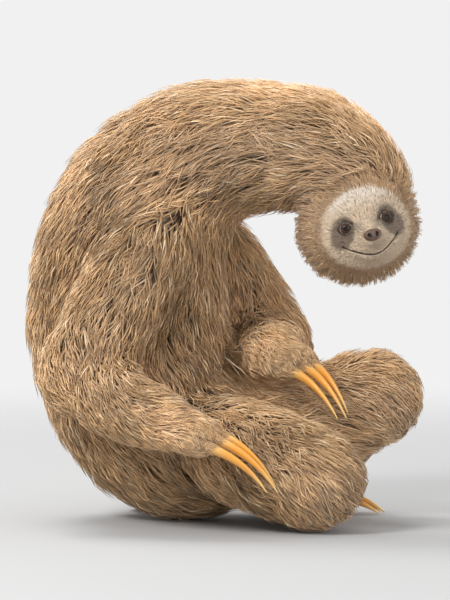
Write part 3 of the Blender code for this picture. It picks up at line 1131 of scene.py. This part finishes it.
class Shader:
    """A Principled material with short ways to add nodes."""

    def __init__(self, name, **values):
        self.material = bpy.data.materials.new(name)
        self.material.use_nodes = True
        self.tree = self.material.node_tree
        self.main = self.tree.nodes["Principled BSDF"]
        for socket, value in values.items():
            self.main.inputs[socket.replace("_", " ")].default_value = value

    def node(self, kind, settings=None, first=(), **named):
        """A node. Its inputs, the first ones and those named, are outputs or plain values."""
        made = self.tree.nodes.new(kind)
        for name, value in (settings or {}).items():
            setattr(made, name, value)
        inputs = list(zip(made.inputs, first))
        inputs += [(made.inputs[name.replace("_", " ")], named[name]) for name in named]
        for socket, value in inputs:
            if hasattr(value, "node"):
                self.tree.links.new(value, socket)
            else:
                socket.default_value = value
        return made

    def link(self, output, socket):
        self.tree.links.new(output, self.main.inputs[socket])

    def attribute(self, name, output="Color"):
        return self.node("ShaderNodeAttribute", {"attribute_name": name}).outputs[output]

    def noise(self, scale, detail, vector):
        made = self.node("ShaderNodeTexNoise", Vector=vector, Scale=scale, Detail=detail)
        return made.outputs["Fac"]

    def spread(self, value, low, high):
        """A value from 0 to 1, spread between low and high."""
        made = self.node("ShaderNodeMapRange", Value=value, To_Min=low, To_Max=high)
        return made.outputs["Result"]

    def scaled(self, colour, value):
        made = self.node("ShaderNodeVectorMath", {"operation": "SCALE"}, [colour], Scale=value)
        return made.outputs["Vector"]

    def tinted(self, value, low, high):
        """Gives the painted colour, darkened and lightened by a value, to the surface."""
        self.link(self.scaled(self.attribute("tint"), self.spread(value, low, high)), "Base Color")
        return self.material

    def place(self):
        return self.node("ShaderNodeTexCoord").outputs["Object"]

    def bumps(self, height, strength, distance):
        made = self.node("ShaderNodeBump", Strength=strength, Distance=distance, Height=height)
        self.link(made.outputs["Normal"], "Normal")


def hair_material(name, roughness, sheen):
    shader = Shader(
        name, Roughness=roughness, Specular_IOR_Level=0.35, Sheen_Weight=sheen,
        Sheen_Roughness=0.5,
    )  # fmt: skip
    streaks = shader.noise(900.0, 1.0, shader.place())
    return shader.tinted(streaks, 0.78, 1.22)


def skin_material():
    shader = Shader("skin", Roughness=0.6, Specular_IOR_Level=0.3)
    pores = shader.noise(1400.0, 3.0, shader.place())
    shader.bumps(pores, 0.5, 0.0004)
    return shader.tinted(pores, 0.80, 1.15)


def nose_material():
    shader = Shader("nose_skin", Roughness=0.36, Specular_IOR_Level=0.6, Coat_Weight=0.25)
    cells = shader.node("ShaderNodeTexVoronoi", Vector=shader.place(), Scale=1500.0)
    shader.bumps(cells.outputs["Distance"], 0.35, 0.0003)
    return shader.tinted(cells.outputs["Distance"], 0.7, 1.3)


PUPIL_SHARE, PUPIL_COLOUR = 0.34, (0.004, 0.003, 0.003)
EYE_BANDS = (  # from the pupil out, by share of the eye's radius, in linear light
    (0.37, (0.064, 0.029, 0.012)),  # iris
    (0.52, (0.036, 0.017, 0.009)),
    (0.60, (0.010, 0.006, 0.004)),  # its dark rim
    (0.68, (0.30, 0.22, 0.16)),  # the white, brownish
    (1.00, (0.36, 0.25, 0.19)),
)


def eye_material():
    shader = Shader("eye", Roughness=0.02, Specular_IOR_Level=0.27)
    place = shader.place()
    to_share = (1 / EYE_RADIUS, 1 / EYE_RADIUS, 0)
    flat = shader.node("ShaderNodeVectorMath", {"operation": "MULTIPLY"}, [place, to_share])
    off_middle = shader.node("ShaderNodeVectorMath", {"operation": "LENGTH"}, flat.outputs[:1])
    colours = shader.node("ShaderNodeValToRGB", Fac=off_middle.outputs["Value"])
    bands = colours.color_ramp.elements
    bands[0].color = (*PUPIL_COLOUR, 1)
    bands[1].position, bands[1].color = PUPIL_SHARE, (*PUPIL_COLOUR, 1)
    for position, colour in EYE_BANDS:
        bands.new(position).color = (*colour, 1)
    rays = shader.noise(700.0, 2.0, place)
    tint = shader.scaled(colours.outputs["Color"], shader.spread(rays, 0.6, 1.4))
    shader.link(tint, "Base Color")
    return shader.material


def horn_material():
    shader = Shader("claw_horn", Roughness=0.34, Specular_IOR_Level=0.5, Coat_Weight=0.15)
    grain = shader.noise(2.2, 4.0, shader.attribute("grain", "Vector"))
    shader.bumps(grain, 0.4, 0.0006)
    return shader.tinted(grain, 0.62, 1.30)


# ---- Stage, light and camera ----

AZIMUTH, ELEVATION = 0.0, 2.5
LENS, SENSOR = 240.0, 36.0
VIEW_HEIGHT = 0.602  # what the picture spans at the model
STUDIO_LIGHT = (0.88, 0.88, 0.88)
FLOOR_COLOUR = (0.41, 0.41, 0.41)
FLOOR_HALF = 40.0


def floor_material():
    """Pale matt floor that fades into the studio's even light further off."""
    shader = Shader("floor", Roughness=0.9, Base_Color=(*FLOOR_COLOUR, 1))
    glow = shader.node("ShaderNodeEmission", Color=(*STUDIO_LIGHT, 1), Strength=1.0)
    reach = shader.node("ShaderNodeVectorMath", {"operation": "LENGTH"}, [shader.place()])
    far = shader.node(
        "ShaderNodeMapRange", {"interpolation_type": "SMOOTHSTEP"},
        Value=reach.outputs["Value"], From_Min=0.5, From_Max=2.2,
    )  # fmt: skip
    both = [far.outputs["Result"], shader.main.outputs[0], glow.outputs[0]]
    mixed = shader.node("ShaderNodeMixShader", {}, both)
    end = shader.tree.nodes["Material Output"]
    shader.tree.links.new(mixed.outputs[0], end.inputs["Surface"])
    return shader.material


def add_stage():
    """A wide pale floor."""
    bm = bmesh.new()
    bmesh.ops.create_grid(bm, x_segments=8, y_segments=8, size=FLOOR_HALF)
    mesh = mesh_of(bm, "floor")
    mesh.materials.append(floor_material())
    add_object("floor", mesh)


LIGHTS = (  # name, place, watts, side
    ("key", (-1.3, -1.5, 1.7), 42, 0.62),
    ("fill", (1.5, -1.8, 0.5), 14, 1.6),
    ("top", (-0.7, 0.8, 2.0), 30, 0.9),
)
LIGHTS_AIM = (0, 0, 0.2)


def add_light(name, place, power, size):
    lamp = bpy.data.lights.new(name, "AREA")
    lamp.energy, lamp.size = power, size
    lamp.shape = "SQUARE"
    light = add_object(name, lamp)
    light.location = place
    way = Vector(LIGHTS_AIM) - Vector(place)
    light.rotation_euler = way.to_track_quat("-Z", "Y").to_euler()


def add_lights():
    for light in LIGHTS:
        add_light(*light)
    world = bpy.data.worlds.new("studio")
    bpy.context.scene.world = world
    world.use_nodes = True
    back = world.node_tree.nodes["Background"]
    back.inputs["Color"].default_value = (*STUDIO_LIGHT, 1)
    back.inputs["Strength"].default_value = 1.0


def add_camera():
    lens = bpy.data.cameras.new("camera")
    lens.lens, lens.sensor_width = LENS, SENSOR
    camera = add_object("camera", lens)
    low, high = CAD_BOX
    aim = (low + high) / 2
    turn, rise = math.radians(AZIMUTH), math.radians(ELEVATION)
    back = Vector(
        (math.sin(turn) * math.cos(rise), -math.cos(turn) * math.cos(rise), math.sin(rise))
    )
    camera.location = aim + back * (VIEW_HEIGHT * LENS / SENSOR)
    camera.rotation_euler = (-back).to_track_quat("-Z", "Y").to_euler()
    bpy.context.scene.camera = camera


# ---- The making ----


def finish_piece(piece, material):
    piece.data.materials.clear()
    piece.data.materials.append(material)
    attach(piece, "root")


def make_animal():
    skin, weights = make_skin()
    finish_piece(skin, skin_material())
    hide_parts(*FLESH)
    coats = {
        "coat": hair_material("coat", 0.55, 0.25),
        "face_coat": hair_material("face_coat", 0.6, 0.2),
    }
    horn = horn_material()
    claws = [make_claw(node) for node in CLAWS]
    for claw, node in zip(claws, CLAWS):
        finish_piece(claw, horn)
        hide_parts(node)
    for piece in make_coat(skin, weights, claws):
        slot = "face_coat" if piece.name.startswith("coat_face") else "coat"
        finish_piece(piece, coats[slot])
    gloss = eye_material()
    for side, sign in SIDES:
        eye = make_eye(side, sign)
        finish_piece(eye, gloss)
        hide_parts(f"eye_{side}")
    nose = make_nose()
    finish_piece(nose, nose_material())
    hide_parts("nose")


make_animal()
add_stage()
add_lights()
add_camera()
bpy.context.scene.view_settings.view_transform = "Standard"
